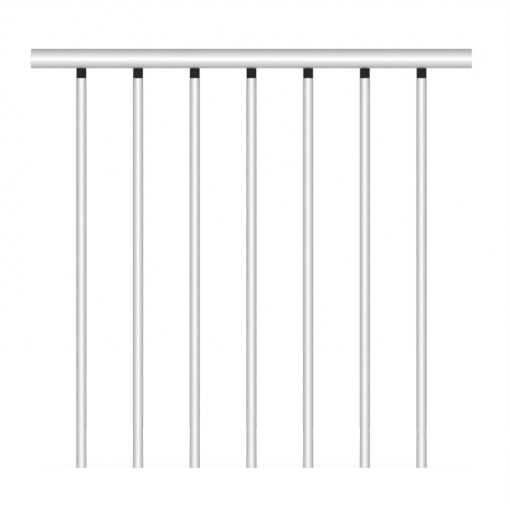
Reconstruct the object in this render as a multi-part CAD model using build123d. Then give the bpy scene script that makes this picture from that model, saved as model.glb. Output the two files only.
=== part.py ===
from build123d import *
import math
import os

# Straight railing: a handrail on seven round balusters, each joined to it by a black connector.
# Millimetres. +X runs along the handrail, +Y points away from the viewer and +Z is up.
# The origin is the centre of the middle baluster's foot.

# Layout of the railing
railing_height = 900.0  # from the feet to the top of the handrail
baluster_count = 7
baluster_spacing = 121.8  # centre to centre
rail_overhang = 108.0  # handrail beyond the centre of each outer baluster

# Baluster tube
tube_diameter = 22.2
tube_wall = 1.5
tube_end_chamfer = 0.3

# Connector, moulded in one piece
collar_height = 21.4
collar_inset = 0.2  # the collar's side lies this far inside the tube's
collar_chamfer = 0.4
spigot_length = 32.0
spigot_rib_count = 6
spigot_rib_width = 2.2
spigot_rib_height = 0.9
spigot_lead_in = 1.6
spigot_clearance = 0.05  # between the ribs and the tube's bore
screw_seat_thickness = 8.0  # between the screw's head and the handrail

# Screw from each connector up into the handrail
screw_diameter = 4.8
screw_length = 19.0
screw_point_length = 3.6
screw_head_diameter = 9.4
screw_head_height = 3.0
screw_head_edge_chamfer = 0.8
screw_recess_width = 1.2
screw_recess_span = 5.0
screw_recess_depth = 1.7
screw_passing_clearance = 0.2  # around the shank, through the connector
screw_biting_clearance = 0.05  # around the shank, in the handrail's floor
screw_head_clearance = 0.6  # around the head, in the connector's pocket

# Handrail: a round extrusion with a flat along its underside for the connectors
rail_diameter = 45.0
rail_wall = 2.0
rail_floor = 3.5  # wall over the flat, which the screws bite into
rail_flat_margin = 0.35  # flat beyond each side of a collar
rail_edge_radius = 0.6  # where the flat meets the round, outside
rail_inner_edge_radius = 1.5  # the same edge, inside
rail_end_chamfer = 0.4

# Plug set flush in each end of the handrail
cap_face_thickness = 3.0
cap_edge_chamfer = 0.5
cap_clearance = 0.12  # between the plug's face and the handrail's bore
cap_skirt_depth = 16.0
cap_skirt_wall = 1.8
cap_fin_count = 8
cap_fin_width = 1.4
cap_fin_height = 0.9

# Threaded plug set flush in each baluster's foot
insert_length = 28.0
insert_clearance = 0.05  # between the plug and the tube's bore
insert_lead_in = 1.2
thread_bore_diameter = 6.8  # tapped M8
thread_bore_depth = 22.0
thread_mouth_chamfer = 0.8

# Sizes that follow from the ones above
tube_bore_diameter = tube_diameter - 2 * tube_wall
collar_diameter = tube_diameter - 2 * collar_inset
rail_radius = rail_diameter / 2
rail_flat_width = collar_diameter + 2 * rail_flat_margin
rail_flat_drop = math.sqrt(rail_radius**2 - (rail_flat_width / 2) ** 2)
rail_bore_radius = rail_radius - rail_wall
rail_bore_drop = rail_flat_drop - rail_floor
rail_length = (baluster_count - 1) * baluster_spacing + 2 * rail_overhang
rail_centre_height = railing_height - rail_radius
rail_flat_height = rail_centre_height - rail_flat_drop
baluster_length = rail_flat_height - collar_height
baluster_places = [
    (number - (baluster_count - 1) / 2) * baluster_spacing for number in range(baluster_count)
]


def round_bar(diameter, length, bottom=0.0):
    """Upright cylinder on the Z axis, standing on the level z = bottom."""
    bar = Cylinder(diameter / 2, length, align=(Align.CENTER, Align.CENTER, Align.MIN))
    return Pos(0, 0, bottom) * bar


def edges_at(solid, height):
    """All edges that lie in the level plane z = height."""
    return solid.edges().filter_by_position(Axis.Z, height, height)


def flat_bottomed(radius, drop, edge_radius=0.0):
    """Round section cut off level at drop below its centre, seen along the handrail."""
    band = Rectangle(2 * radius, radius + drop, align=(Align.CENTER, Align.MIN))
    section = Circle(radius) & Pos(0, -drop) * band
    if edge_radius > 0:
        corners = section.vertices().sort_by(Axis.Y)[:2]
        section = fillet(corners, edge_radius)
    return section


def ribbed_round(core_radius, tip_radius, rib_width, rib_count):
    """Round core with radial ribs whose tips lie on a circle."""
    rib = Rectangle(tip_radius, rib_width, align=(Align.MIN, Align.CENTER))
    ribs = [Rot(0, 0, 360 * number / rib_count) * rib for number in range(rib_count)]
    tips = Circle(tip_radius) & Sketch() + ribs
    return Circle(core_radius) + tips


def handrail():
    """Extrusion along X, bored through its floor for the screws."""
    outside = flat_bottomed(rail_radius, rail_flat_drop, rail_edge_radius)
    inside = flat_bottomed(rail_bore_radius, rail_bore_drop, rail_inner_edge_radius)
    centre = Plane((-rail_length / 2, 0, rail_centre_height), x_dir=(0, 1, 0), z_dir=(1, 0, 0))
    solid = extrude(centre * outside, rail_length)
    end_edges = solid.faces().sort_by(Axis.X)[0].edges() + solid.faces().sort_by(Axis.X)[-1].edges()
    solid = chamfer(end_edges, rail_end_chamfer)
    solid -= extrude(centre * inside, rail_length)
    hole_diameter = screw_diameter + 2 * screw_biting_clearance
    for place in baluster_places:
        hole = round_bar(hole_diameter, rail_floor, rail_flat_height)
        solid -= Pos(place, 0, 0) * hole
    return solid


def handrail_end_cap(side):
    """Plug in the handrail's bore at side -1 (left) or +1 (right): a flush face and a finned skirt."""
    face_radius = rail_bore_radius - cap_clearance
    face_drop = rail_bore_drop - cap_clearance
    skirt_radius = face_radius - cap_fin_height
    skirt_drop = face_drop - cap_fin_height
    face_plane = Plane((0, 0, 0), x_dir=(0, 1, 0), z_dir=(1, 0, 0))
    skirt_plane = face_plane.offset(cap_face_thickness)
    face = extrude(face_plane * flat_bottomed(face_radius, face_drop, rail_inner_edge_radius), cap_face_thickness)
    face = chamfer(face.faces().sort_by(Axis.X)[0].edges(), cap_edge_chamfer)
    outer = flat_bottomed(skirt_radius, skirt_drop)
    hollow = flat_bottomed(skirt_radius - cap_skirt_wall, skirt_drop - cap_skirt_wall)
    fin = Rectangle(face_radius, cap_fin_width, align=(Align.MIN, Align.CENTER))
    turns = [360 * (number + 0.5) / cap_fin_count for number in range(cap_fin_count)]
    fins = Sketch() + [Rot(0, 0, turn) * fin for turn in turns]
    fins = fins & flat_bottomed(face_radius, face_drop)
    skirt = extrude(skirt_plane * (outer + fins - hollow), cap_skirt_depth)
    plug = Pos(-rail_length / 2, 0, rail_centre_height) * (face + skirt)
    return plug if side < 0 else mirror(plug, Plane.YZ)


def baluster():
    """Tube from the foot up to the connector's collar."""
    tube = round_bar(tube_diameter, baluster_length) - round_bar(tube_bore_diameter, baluster_length)
    rims = edges_at(tube, 0) + edges_at(tube, baluster_length)
    return chamfer(rims, tube_end_chamfer)


def connector():
    """Collar under the handrail and ribbed spigot in the tube, hollow for the screw's head."""
    collar = round_bar(collar_diameter, collar_height, baluster_length)
    collar = chamfer(collar.edges().filter_by(GeomType.CIRCLE), collar_chamfer)
    tip_diameter = tube_bore_diameter - 2 * spigot_clearance
    core_diameter = tip_diameter - 2 * spigot_rib_height
    section = ribbed_round(core_diameter / 2, tip_diameter / 2, spigot_rib_width, spigot_rib_count)
    spigot_bottom = baluster_length - spigot_length
    spigot = extrude(Pos(0, 0, spigot_bottom) * section, spigot_length)
    blank = round_bar(tip_diameter, spigot_length, spigot_bottom)
    spigot = spigot & chamfer(edges_at(blank, spigot_bottom), spigot_lead_in)
    head_level = rail_flat_height - screw_seat_thickness
    pocket = round_bar(screw_head_diameter + 2 * screw_head_clearance, head_level - spigot_bottom, spigot_bottom)
    hole = round_bar(screw_diameter + 2 * screw_passing_clearance, screw_seat_thickness, head_level)
    return collar + spigot - pocket - hole


def rail_screw():
    """Pan-head screw pointing up, its head in the connector and its point in the handrail."""
    head_level = rail_flat_height - screw_seat_thickness
    head_bottom = head_level - screw_head_height
    head = round_bar(screw_head_diameter, screw_head_height, head_bottom)
    head = chamfer(edges_at(head, head_bottom), screw_head_edge_chamfer)
    slot = Box(screw_recess_span, screw_recess_width, 2 * screw_recess_depth)
    head -= Pos(0, 0, head_bottom) * (slot + Rot(0, 0, 90) * slot)
    shank = round_bar(screw_diameter, screw_length - screw_point_length, head_level)
    point = Cone(screw_diameter / 2, 0, screw_point_length, align=(Align.CENTER, Align.CENTER, Align.MIN))
    return head + shank + Pos(0, 0, head_level + screw_length - screw_point_length) * point


def foot_insert():
    """Steel plug flush with the tube's foot, tapped from below."""
    plug = round_bar(tube_bore_diameter - 2 * insert_clearance, insert_length)
    plug = chamfer(edges_at(plug, insert_length), insert_lead_in)
    plug -= round_bar(thread_bore_diameter, thread_bore_depth)
    mouth = Cone(
        thread_bore_diameter / 2 + thread_mouth_chamfer,
        thread_bore_diameter / 2,
        thread_mouth_chamfer,
        align=(Align.CENTER, Align.CENTER, Align.MIN),
    )
    return plug - mouth


def write(solid, name):
    export_step(solid, os.path.join("parts", name + ".step"))


os.makedirs("parts", exist_ok=True)
write(handrail(), "handrail")
write(handrail_end_cap(-1), "handrail_end_cap_left")
write(handrail_end_cap(1), "handrail_end_cap_right")
for piece_name, solid in (
    ("baluster", baluster()),
    ("connector", connector()),
    ("rail_screw", rail_screw()),
    ("foot_insert", foot_insert()),
):
    for number, place in enumerate(baluster_places, start=1):
        write(Pos(place, 0, 0) * solid, f"{piece_name}_{number}")
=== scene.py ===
import math

import bpy
import numpy as np
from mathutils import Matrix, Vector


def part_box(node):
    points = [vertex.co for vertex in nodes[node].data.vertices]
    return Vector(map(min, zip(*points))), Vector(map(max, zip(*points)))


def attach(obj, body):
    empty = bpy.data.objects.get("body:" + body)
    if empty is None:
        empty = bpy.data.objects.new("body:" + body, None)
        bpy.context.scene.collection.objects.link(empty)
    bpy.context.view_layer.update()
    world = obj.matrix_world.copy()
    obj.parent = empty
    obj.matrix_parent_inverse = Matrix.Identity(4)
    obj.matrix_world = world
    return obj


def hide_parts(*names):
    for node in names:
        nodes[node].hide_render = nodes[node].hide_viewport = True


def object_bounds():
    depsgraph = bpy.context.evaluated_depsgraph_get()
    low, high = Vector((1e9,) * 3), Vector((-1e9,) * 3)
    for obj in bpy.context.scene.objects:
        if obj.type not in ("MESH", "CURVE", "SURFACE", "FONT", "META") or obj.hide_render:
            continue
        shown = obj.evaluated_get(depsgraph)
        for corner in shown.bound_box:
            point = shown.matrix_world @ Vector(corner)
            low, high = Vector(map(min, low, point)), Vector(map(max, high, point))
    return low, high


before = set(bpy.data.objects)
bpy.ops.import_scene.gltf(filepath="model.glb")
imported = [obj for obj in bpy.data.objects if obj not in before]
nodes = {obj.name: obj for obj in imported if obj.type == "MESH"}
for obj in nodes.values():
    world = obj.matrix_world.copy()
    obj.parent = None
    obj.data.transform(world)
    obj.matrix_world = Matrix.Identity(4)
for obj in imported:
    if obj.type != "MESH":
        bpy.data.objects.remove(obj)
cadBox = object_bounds()
print("frame loaded:", len(nodes), "pieces")


# Shader maths: a wrapped socket turns an expression such as 1 - mask into Math nodes.
class Signal:
    def __init__(self, sheet, socket):
        self.sheet = sheet
        self.socket = socket

    def __add__(self, other):
        return self.sheet.math("ADD", self, other)

    def __radd__(self, other):
        return self.sheet.math("ADD", other, self)

    def __sub__(self, other):
        return self.sheet.math("SUBTRACT", self, other)

    def __rsub__(self, other):
        return self.sheet.math("SUBTRACT", other, self)

    def __mul__(self, other):
        return self.sheet.math("MULTIPLY", self, other)

    def __rmul__(self, other):
        return self.sheet.math("MULTIPLY", other, self)

    def __truediv__(self, other):
        return self.sheet.math("DIVIDE", self, other)

    def __pow__(self, other):
        return self.sheet.math("POWER", self, other)

    def larger(self, other):
        return self.sheet.math("MAXIMUM", self, other)


# One material's or the world's node tree, emptied when it is opened.
class Sheet:
    def __init__(self, owner):
        owner.use_nodes = True
        self.tree = owner.node_tree
        self.tree.nodes.clear()

    # Any node: its settings first, then the values or links of its inputs, by name or number.
    # Returns its outputs by name.
    def node(self, kind, settings=None, inputs=None):
        made = self.tree.nodes.new(kind)
        for name, value in (settings or {}).items():
            setattr(made, name, value)
        for name, value in (inputs or {}).items():
            if isinstance(value, Signal):
                self.tree.links.new(value.socket, made.inputs[name])
            else:
                made.inputs[name].default_value = value
        return {output.name: Signal(self, output) for output in made.outputs if output.enabled}

    def math(self, operation, left, right=0.0):
        return self.node("ShaderNodeMath", {"operation": operation}, {0: left, 1: right})["Value"]

    # A mix of two colours, which are inputs 6 and 7 of a Mix node, by a factor.
    def blend(self, factor, first, second):
        inputs = {0: factor, 6: first, 7: second}
        return self.node("ShaderNodeMix", {"data_type": "RGBA"}, inputs)["Result"]

    # The point on the object in metres, as one vector or as its parts X, Y and Z.
    def point(self):
        return self.node("ShaderNodeTexCoord")["Object"]

    def pointParts(self):
        return self.node("ShaderNodeSeparateXYZ", inputs={"Vector": self.point()})

    # Fine noise round a middle of 0.5. Its waves per metre are one number, or one for each axis.
    def noise(self, waves, detail=2.0, roughness=0.5):
        scales = waves if isinstance(waves, tuple) else (waves, waves, waves)
        place = self.node("ShaderNodeMapping", inputs={"Vector": self.point(), "Scale": scales})
        return self.node("ShaderNodeTexNoise", inputs={
            "Vector": place["Vector"], "Scale": 1.0, "Detail": detail, "Roughness": roughness,
        })["Fac"]

    # The normal of a surface whose relief is given in parts of a distance in metres.
    def bump(self, relief, distance):
        inputs = {"Height": relief, "Distance": distance}
        return self.node("ShaderNodeBump", inputs=inputs)["Normal"]

    # 1 for camera, mirror and glass rays, 0 for the rest.
    def seenDirectly(self):
        path = self.node("ShaderNodeLightPath")
        mirrored = path["Is Glossy Ray"].larger(path["Is Transmission Ray"])
        return path["Is Camera Ray"].larger(mirrored)

    def surface(self, shader):
        self.node("ShaderNodeOutputMaterial", inputs={"Surface": shader})

    def principled(self, inputs):
        self.surface(self.node("ShaderNodeBsdfPrincipled", inputs=inputs)["BSDF"])


def openSheet(name):
    material = bpy.data.materials.new(name)
    return material, Sheet(material)


# Weighted mean of two signals.
def mingle(share, first, second):
    return share * first + (1.0 - share) * second


# Satin aluminium: drawing lines along the piece, which are noise with long waves that way and fine
# waves across, and a soft cloud. Both change the colour and the roughness. The lines alone make
# the relief.
aluminium = {
    "paleColour": (0.943, 0.943, 0.943, 1.0),
    "darkColour": (0.893, 0.893, 0.893, 1.0),
    "edgeTint": (0.70, 0.70, 0.70, 1.0),  # an anodised film is a little darker at a glancing angle
    "roughness": 0.40,
    "roughnessSwing": 0.08,
    "lineWavesPerMetre": 900.0,
    "lineWavesAlong": 6.0,
    "lineDepth": 0.00007,
    "lineShareOfColour": 0.65,
    "lineShareOfRoughness": 0.70,
    "cloudWavesPerMetre": 14.0,
}


def satinAluminium(name, alongX):
    across, along = aluminium["lineWavesPerMetre"], aluminium["lineWavesAlong"]
    material, sheet = openSheet(name)
    waves = (along, across, across) if alongX else (across, across, along)
    lines = sheet.noise(waves, detail=3.0, roughness=0.6)
    cloud = sheet.noise(aluminium["cloudWavesPerMetre"])
    colourMix = mingle(aluminium["lineShareOfColour"], lines, cloud)
    roughnessMix = mingle(aluminium["lineShareOfRoughness"], lines, cloud)
    sheet.principled({
        "Base Color": sheet.blend(colourMix, aluminium["darkColour"], aluminium["paleColour"]),
        "Metallic": 1.0,
        "Roughness": aluminium["roughness"] + aluminium["roughnessSwing"] * (roughnessMix - 0.5),
        "Specular Tint": aluminium["edgeTint"],
        "Normal": sheet.bump(lines, aluminium["lineDepth"]),
    })
    return material


# Black nylon: a fine eroded grain in colour, gloss and relief, a faint change of shade at random,
# and the mould's own mark. The colour's factor is a half, plus the grain's and the shade's
# distance from their middle times their contrast, plus the mark times its tone. The grain's colour
# is random, with painted shade in its pits, as its low spots come out darker. The mark's tone is
# painted light: a painted highlight along a connector's parting line, and painted shade in a cap's
# gate groove.
nylon = {
    "deepColour": (0.0085, 0.0085, 0.0085, 1.0),
    "paleColour": (0.0270, 0.0270, 0.0270, 1.0),
    "roughness": 0.56,
    "roughnessSwing": 0.16,
    "specular": 0.15,
    "grainWavesPerMetre": 1500.0,
    "grainDepth": 0.00005,
    # partly random colour, partly painted shade: the grain's low spots, its pits, are the darker
    # ones
    "grainToneAndPitShadeContrast": 1.8,
    "shadeWavesPerMetre": 60.0,
    "shadeContrast": 0.6,
    "partingLineWidth": 0.00035,
    "partingLineHeight": 0.00008,
    # painted highlight: how much paler the parting line's colour is made
    "partingLinePaintedHighlight": 0.35,
    "gateRadius": 0.0022,
    "gateWidth": 0.0005,
    "gateDepth": 0.00025,
    # painted shade: how much darker the gate groove's colour is made
    "gatePaintedShade": -0.60,
}


# A connector's mark is the mould's parting line, a ridge in the plane y = 0. A cap's is the ring
# that the gate left, a groove round the middle of its face. Each fades evenly to its width. Each
# is
# painted into the colour too: the ridge paler, a painted highlight, and the groove darker, painted
# shade.
def blackNylon(name, faceMiddle=None):
    material, sheet = openSheet(name)
    grain = sheet.noise(nylon["grainWavesPerMetre"], detail=3.0, roughness=0.65)
    shade = sheet.noise(nylon["shadeWavesPerMetre"])
    place = sheet.pointParts()
    if faceMiddle is None:
        away = sheet.math("ABSOLUTE", place["Y"]) / nylon["partingLineWidth"]
        # the parting line's colour gets a painted highlight
        height, tone = nylon["partingLineHeight"], nylon["partingLinePaintedHighlight"]
    else:
        up = place["Z"] - faceMiddle
        radius = (place["Y"] * place["Y"] + up * up) ** 0.5
        away = sheet.math("ABSOLUTE", radius - nylon["gateRadius"]) / nylon["gateWidth"]
        # the gate groove's colour gets painted shade
        height, tone = -nylon["gateDepth"], nylon["gatePaintedShade"]
    mark = (1.0 - away).larger(0.0)
    # The grain term gives random colour and also darkens the grain's pits, which is painted shade.
    tones = 0.5 + nylon["grainToneAndPitShadeContrast"] * (grain - 0.5) + nylon["shadeContrast"] * (shade - 0.5)
    relief = grain * nylon["grainDepth"] + mark * height
    sheet.principled({
        # Base colour: random grain and shade, plus the mark's painted light, a highlight on a
        # connector and shade on a cap
        "Base Color": sheet.blend(tones + tone * mark, nylon["deepColour"], nylon["paleColour"]),
        "Roughness": nylon["roughness"] + nylon["roughnessSwing"] * (grain - 0.5),
        "Specular IOR Level": nylon["specular"],
        "Normal": sheet.bump(relief, 1.0),
    })
    return material


# Zinc plated steel: turned rings, a sine of the distance from the axis of the nearest foot, and a
# cloudy plating.
zinc = {
    "paleColour": (0.66, 0.67, 0.70, 1.0),
    "darkColour": (0.50, 0.51, 0.54, 1.0),
    "roughness": 0.34,
    "roughnessSwing": 0.14,
    "ringsPerMetre": 2600.0,
    "ringDepth": 0.000012,
    "cloudWavesPerMetre": 160.0,
}


def zincSteel(name, footSpacing):
    material, sheet = openSheet(name)
    place = sheet.pointParts()
    across = place["X"] - sheet.math("ROUND", place["X"] / footSpacing) * footSpacing
    radius = (across * across + place["Y"] * place["Y"]) ** 0.5
    rings = sheet.math("SINE", radius * (math.tau * zinc["ringsPerMetre"]))
    cloud = sheet.noise(zinc["cloudWavesPerMetre"], detail=3.0)
    sheet.principled({
        "Base Color": sheet.blend(cloud, zinc["darkColour"], zinc["paleColour"]),
        "Metallic": 1.0,
        "Roughness": zinc["roughness"] + zinc["roughnessSwing"] * (cloud - 0.5),
        "Normal": sheet.bump(0.5 * rings + 0.5, zinc["ringDepth"]),
    })
    return material


def namesFrom(start):
    return sorted(name for name in nodes if name.startswith(start))


def dress(names, material):
    for name in names:
        for slot in nodes[name].material_slots:
            slot.material = material


insertNames = namesFrom("foot_insert_")
firstFoot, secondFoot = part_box(insertNames[0]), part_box(insertNames[1])
railLow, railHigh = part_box("handrail")
railMiddle = (railLow[2] + railHigh[2]) / 2
zincMaterial = zincSteel("zincSteel", secondFoot[0][0] - firstFoot[0][0])
dress(["handrail"], satinAluminium("railAluminium", alongX=True))
dress(namesFrom("baluster_"), satinAluminium("balusterAluminium", alongX=False))
dress(namesFrom("connector_"), blackNylon("connectorNylon"))
dress(namesFrom("handrail_end_cap_"), blackNylon("capNylon", railMiddle))
dress(insertNames + namesFrom("rail_screw_"), zincMaterial)
print("materials made")


def addToScene(name, data):
    made = bpy.data.objects.new(name, data)
    bpy.context.scene.collection.objects.link(made)
    return made


def addMesh(name, points, faces):
    mesh = bpy.data.meshes.new(name)
    mesh.from_pydata(points.reshape(-1, 3).tolist(), [], faces)
    return addToScene(name, mesh)


# Mesh from rings of points, one after another, with a single point closing each end.
def ringMesh(name, rings, firstPole, lastPole, sharpAngle):
    rows, columns = rings.shape[:2]
    index = np.arange(rows * columns).reshape(rows, columns)
    onward = np.roll(index, -1, axis=1)
    sides = np.stack((index[:-1], index[1:], onward[1:], onward[:-1]), axis=-1).reshape(-1, 4)
    first, last = rows * columns, rows * columns + 1
    starts = np.stack((np.full(columns, first), index[0], onward[0]), axis=-1)
    ends = np.stack((np.full(columns, last), onward[-1], index[-1]), axis=-1)
    points = np.concatenate((rings.reshape(-1, 3), [firstPole], [lastPole]))
    made = addMesh(name, points, sides.tolist() + starts.tolist() + ends.tolist())
    made.data.shade_smooth()
    made.data.set_sharp_from_angle(angle=sharpAngle)
    return made


# Tapped plug in a foot. Lengths are metres. The outline is the CAD plug's, and the thread is M8.
plug = {
    "columns": 48,
    "leadIn": 0.0012,
    "mouthChamfer": 0.0008,
    "drillRadius": 0.0034,
    "boreDepth": 0.022,
    "drillTip": 0.0018,
    "pitch": 0.00125,
    "crestRadius": 0.00332,
    "rootRadius": 0.0040,
    "threadDepth": 0.020,
    "threadHeight": 0.75,  # of the wave before its cut, where 0.5 just reaches crest and root
    "rowsPerTurn": 10,
    "sharpAngle": math.radians(32),  # edges that turn more than this stay crisp
}


# Outline turned round the foot's axis: top, side, foot and mouth are rings of one radius each. In
# the bore the radius follows the cosine of height over pitch less turn, which makes a helix, cut
# flat at crest and root. It fades to the drilled radius over one pitch at both ends.
def threadedPlug(name, node):
    low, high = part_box(node)
    middleX, middleY = (low[0] + high[0]) / 2, (low[1] + high[1]) / 2
    outer = (high[0] - low[0]) / 2
    bottom, top = low[2], high[2]
    columns, drill, pitch = plug["columns"], plug["drillRadius"], plug["pitch"]
    threadStart, threadEnd = plug["mouthChamfer"], plug["threadDepth"]
    outlineRadius = np.array([outer - plug["leadIn"], outer, outer, drill + plug["mouthChamfer"]])
    outlineHeight = np.array([top, top - plug["leadIn"], bottom, bottom])

    angle = np.linspace(0, math.tau, columns, endpoint=False)
    rows = int(plug["rowsPerTurn"] * (threadEnd - threadStart) / pitch)
    height = np.linspace(threadStart, threadEnd, rows)[:, None]
    wave = np.cos(math.tau * height / pitch - angle[None, :])
    rise = np.clip(0.5 + plug["threadHeight"] * wave, 0.0, 1.0)
    thread = plug["crestRadius"] + (plug["rootRadius"] - plug["crestRadius"]) * rise
    fade = np.clip(np.minimum(height - threadStart, threadEnd - height) / pitch, 0.0, 1.0)
    boreRadius = drill + (thread - drill) * fade

    radius = np.concatenate((
        np.repeat(outlineRadius[:, None], columns, axis=1),
        boreRadius,
        np.full((1, columns), drill),
    ))
    heights = np.concatenate((outlineHeight, height[:, 0], [plug["boreDepth"]]))
    rings = np.stack((
        middleX + radius * np.cos(angle),
        middleY + radius * np.sin(angle),
        np.repeat(heights[:, None], columns, axis=1),
    ), axis=-1)
    tip = plug["boreDepth"] + plug["drillTip"]
    poles = (middleX, middleY, top), (middleX, middleY, tip)
    made = ringMesh(name, rings, *poles, plug["sharpAngle"])
    made.data.materials.append(zincMaterial)
    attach(made, "root")
    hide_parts(node)


for number, node in enumerate(insertNames, start=1):
    threadedPlug(f"threaded_plug_{number}", node)
print("threaded plugs made:", len(insertNames))


# Studio: a pale floor, a white surround, and a tunnel of glowing grey cards that only reflections
# see.
studio = {
    "white": (1.0, 1.0, 1.0, 1.0),
    "black": (0.0, 0.0, 0.0, 1.0),
    "ambient": 0.45,
    "floorSize": 60.0,
    "floorPoints": 3,
    "floorGap": 0.0003,
    "floorColour": (0.80, 0.80, 0.80, 1.0),
    "floorFleck": (0.83, 0.83, 0.83, 1.0),
    "fleckWavesPerMetre": 35.0,
    "floorLift": 0.385,
    "tunnelRadius": 6.0,
    "tunnelFront": 15.0,
    "tunnelBack": 25.0,
    "tunnelSides": 96,
    "tunnelRings": 101,
    "cardLevels": (0.535, 0.28, 0.16, -0.04, 0.02),  # side, slope, lift, bend and tilt
}

# Soft lamps, aimed at the railing's middle. A sun's width is an angle, and a square lamp's a side.
lamps = {
    "skyLamp": {
        "kind": "SUN", "from": (0.0, -0.5, 1.0), "width": 0.6, "power": 1.1,
        "inReflections": False,
    },
    "frontLamp": {
        "kind": "AREA", "from": (0.0, -5.5, 0.5), "width": 3.0, "power": 9.5,
        "inReflections": True,
    },
    "backLamp": {
        "kind": "AREA", "from": (0.0, 5.5, 0.0), "width": 3.0, "power": 26.0,
        "inReflections": True,
    },
}


# The surround is white to camera, mirror and glass rays, and a soft level to the rest.
def makeWorld():
    world = bpy.data.worlds.new("studioWorld")
    bpy.context.scene.world = world
    sheet = Sheet(world)
    strength = studio["ambient"] + sheet.seenDirectly() * (1.0 - studio["ambient"])
    inputs = {"Color": studio["white"], "Strength": strength}
    background = sheet.node("ShaderNodeBackground", inputs=inputs)["Background"]
    sheet.node("ShaderNodeOutputWorld", inputs={"Surface": background})


# Grid of points to a mesh of quads, closed round its first direction where wrapped.
def gridMesh(name, points, wrapped=False):
    rows, columns = points.shape[:2]
    index = np.arange(rows * columns).reshape(rows, columns)
    near = index if wrapped else index[:-1]
    far = np.roll(index, -1, axis=0) if wrapped else index[1:]
    quads = np.stack((near[:, :-1], far[:, :-1], far[:, 1:], near[:, 1:]), axis=-1)
    return addMesh(name, points, quads.reshape(-1, 4).tolist())


# Flat floor: z = -gap over a square. The hair's gap keeps it apart from the feet's own flat faces.
# Its upper side is paper, lifted to white for direct rays, and its underside is clear. It stays
# out of the metal's reflections and shades nothing.
def makeFloor():
    half = studio["floorSize"] / 2
    side = np.linspace(-half, half, studio["floorPoints"])
    x, y = np.meshgrid(side, side, indexing="ij")
    floor = gridMesh("floor", np.stack((x, y, np.full_like(x, -studio["floorGap"])), axis=-1))
    material, sheet = openSheet("floorPaper")
    flecks = sheet.noise(studio["fleckWavesPerMetre"], detail=3.0)
    colour = sheet.blend(flecks, studio["floorColour"], studio["floorFleck"])
    paper = sheet.node("ShaderNodeBsdfDiffuse", inputs={"Color": colour})["BSDF"]
    strength = sheet.seenDirectly() * studio["floorLift"]
    lift = sheet.node("ShaderNodeEmission", inputs={"Strength": strength})["Emission"]
    upper = sheet.node("ShaderNodeAddShader", inputs={0: paper, 1: lift})["Shader"]
    under = sheet.node("ShaderNodeBsdfTransparent")["BSDF"]
    below = sheet.node("ShaderNodeNewGeometry")["Backfacing"]
    inputs = {0: below, 1: upper, 2: under}
    sheet.surface(sheet.node("ShaderNodeMixShader", inputs=inputs)["Shader"])
    floor.data.materials.append(material)
    floor.visible_glossy = False
    floor.visible_shadow = False


# Tunnel of cards along Y, a full circle round the handrail. From the handrail, c is the cosine of
# the angle off the front and s the sine of the angle above level. The cards' grey is
# side + slope c + lift c^2 + bend c^3 + tilt s. It is painted light: the cards glow, with no lamp,
# and the metal shows that glow in its reflections, greyer at the sides and back than in front.
def makeTunnel(centreHeight):
    angle = np.linspace(0, math.tau, studio["tunnelSides"], endpoint=False)
    depth = np.linspace(-studio["tunnelFront"], studio["tunnelBack"], studio["tunnelRings"])
    turn, y = np.meshgrid(angle, depth, indexing="ij")
    x = studio["tunnelRadius"] * np.cos(turn)
    z = centreHeight + studio["tunnelRadius"] * np.sin(turn)
    tunnel = gridMesh("cards", np.stack((x, y, z), axis=-1), wrapped=True)
    material, sheet = openSheet("glowingGreyCard")
    place = sheet.pointParts()
    up = place["Z"] - centreHeight
    away = (place["X"] * place["X"] + place["Y"] * place["Y"] + up * up) ** 0.5
    front = -1.0 * place["Y"] / away
    side, slope, lift, bend, tilt = studio["cardLevels"]
    grey = side + front * (slope + front * (lift + bend * front)) + tilt * (up / away)
    inputs = {"Color": sheet.blend(grey, studio["black"], studio["white"]), "Strength": 1.0}
    sheet.surface(sheet.node("ShaderNodeEmission", inputs=inputs)["Emission"])
    tunnel.data.materials.append(material)
    # Painted light for reflections alone: the glowing cards are seen by no camera, diffuse, shadow
    # or glass ray.
    tunnel.visible_camera = False
    tunnel.visible_diffuse = False
    tunnel.visible_shadow = False
    tunnel.visible_transmission = False


def makeLamp(name):
    values = lamps[name]
    lamp = bpy.data.lights.new(name, values["kind"])
    lamp.energy = values["power"]
    if values["kind"] == "SUN":
        lamp.angle = values["width"]
    else:
        lamp.shape = "SQUARE"
        lamp.size = values["width"]
    holder = addToScene(name, lamp)
    x, y, z = values["from"]
    holder.location = (np.array(cadBox[0]) + np.array(cadBox[1])) / 2 + np.array(values["from"])
    holder.rotation_euler = (math.atan2(math.hypot(x, y), z), 0.0, math.atan2(x, -y))
    holder.visible_glossy = values["inReflections"]


makeWorld()
makeFloor()
makeTunnel(railMiddle)
for name in lamps:
    makeLamp(name)
print("studio made")


# Camera: a long lens far away, so that the picture is as flat as the drawing.
view = {
    "photoPixels": 510,
    "originPixel": (251.45, 467.66),  # where the foot of the middle baluster lies in the photo
    "metresPerPixel": 0.0021484,
    "distance": 25.0,
    "sensor": 36.0,
    "nearest": 1.0,
    "farthest": 200.0,
}


def makeCamera():
    camera = bpy.data.cameras.new("camera")
    holder = addToScene("camera", camera)
    middle = view["photoPixels"] / 2
    x = (middle - view["originPixel"][0]) * view["metresPerPixel"]
    z = (view["originPixel"][1] - middle) * view["metresPerPixel"]
    holder.location = (x, -view["distance"], z)
    holder.rotation_euler = (math.pi / 2, 0.0, 0.0)
    frameWidth = view["photoPixels"] * view["metresPerPixel"]
    camera.sensor_width = view["sensor"]
    camera.lens = view["sensor"] * view["distance"] / frameWidth
    camera.clip_start = view["nearest"]
    camera.clip_end = view["farthest"]
    bpy.context.scene.camera = holder


makeCamera()
bpy.context.scene.view_settings.view_transform = "Standard"
print("camera set")
